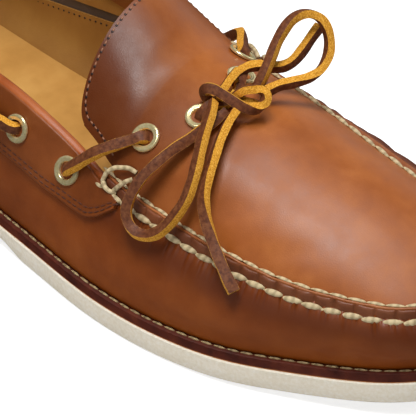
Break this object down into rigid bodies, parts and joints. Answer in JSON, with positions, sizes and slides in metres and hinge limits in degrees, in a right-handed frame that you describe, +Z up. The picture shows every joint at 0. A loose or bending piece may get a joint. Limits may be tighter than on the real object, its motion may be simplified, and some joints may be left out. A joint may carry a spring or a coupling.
{
  "type": "boat shoe",
  "caption": "Right leather boat shoe with a hand-sewn moccasin plug, wrap-round quarter, leather lace tied in a bow, metal eyelets, stitched midsole and grooved rubber outsole.",
  "frame": {"origin": "on the floor under the middle of the shoe's length and width", "axes": "+X towards the toe, +Y to the wearer's left (the inner side of this right shoe), +Z up"},
  "size_m": [0.298, 0.1065, 0.0854],
  "materials": {
    "outsole_rubber": "matt moulded rubber with a fine pebbled edge",
    "midsole_brown": "dark brown dyed midsole, smooth edge, stitched rim",
    "insole_leather": "tan sock leather, satin",
    "upper_leather": "waxed pull-up leather, semi-gloss, chestnut",
    "quarter_leather": "waxed pull-up leather, semi-gloss, darker chestnut",
    "lace_leather": "flat cut leather lace, brown faces and ochre edges",
    "eyelet_metal": "pale gold plated, polished"
  },
  "bodies": {
    "root": {"outsole": "outsole_rubber", "midsole": "midsole_brown", "insole": "insole_leather", "upper": "upper_leather", "quarter": "quarter_leather", "tongue": "upper_leather", "eyelet_outer_a": "eyelet_metal", "eyelet_outer_b": "eyelet_metal", "eyelet_outer_c": "eyelet_metal", "eyelet_outer_d": "eyelet_metal", "eyelet_outer_e": "eyelet_metal", "eyelet_inner_a": "eyelet_metal", "eyelet_inner_b": "eyelet_metal", "eyelet_inner_c": "eyelet_metal", "eyelet_inner_d": "eyelet_metal", "eyelet_inner_e": "eyelet_metal", "eyelet_tongue_outer": "eyelet_metal", "eyelet_tongue_mid_outer": "eyelet_metal", "eyelet_tongue_mid_inner": "eyelet_metal", "eyelet_tongue_inner": "eyelet_metal", "lace_front_outer": "lace_leather", "lace_front_inner": "lace_leather", "lace_side_outer_front": "lace_leather", "lace_side_outer_back": "lace_leather", "lace_side_inner_front": "lace_leather", "lace_side_inner_back": "lace_leather", "lace_knot": "lace_leather", "lace_loop_near": "lace_leather", "lace_end_near": "lace_leather", "lace_loop_far": "lace_leather", "lace_end_far": "lace_leather"}
  },
  "joints": []
}
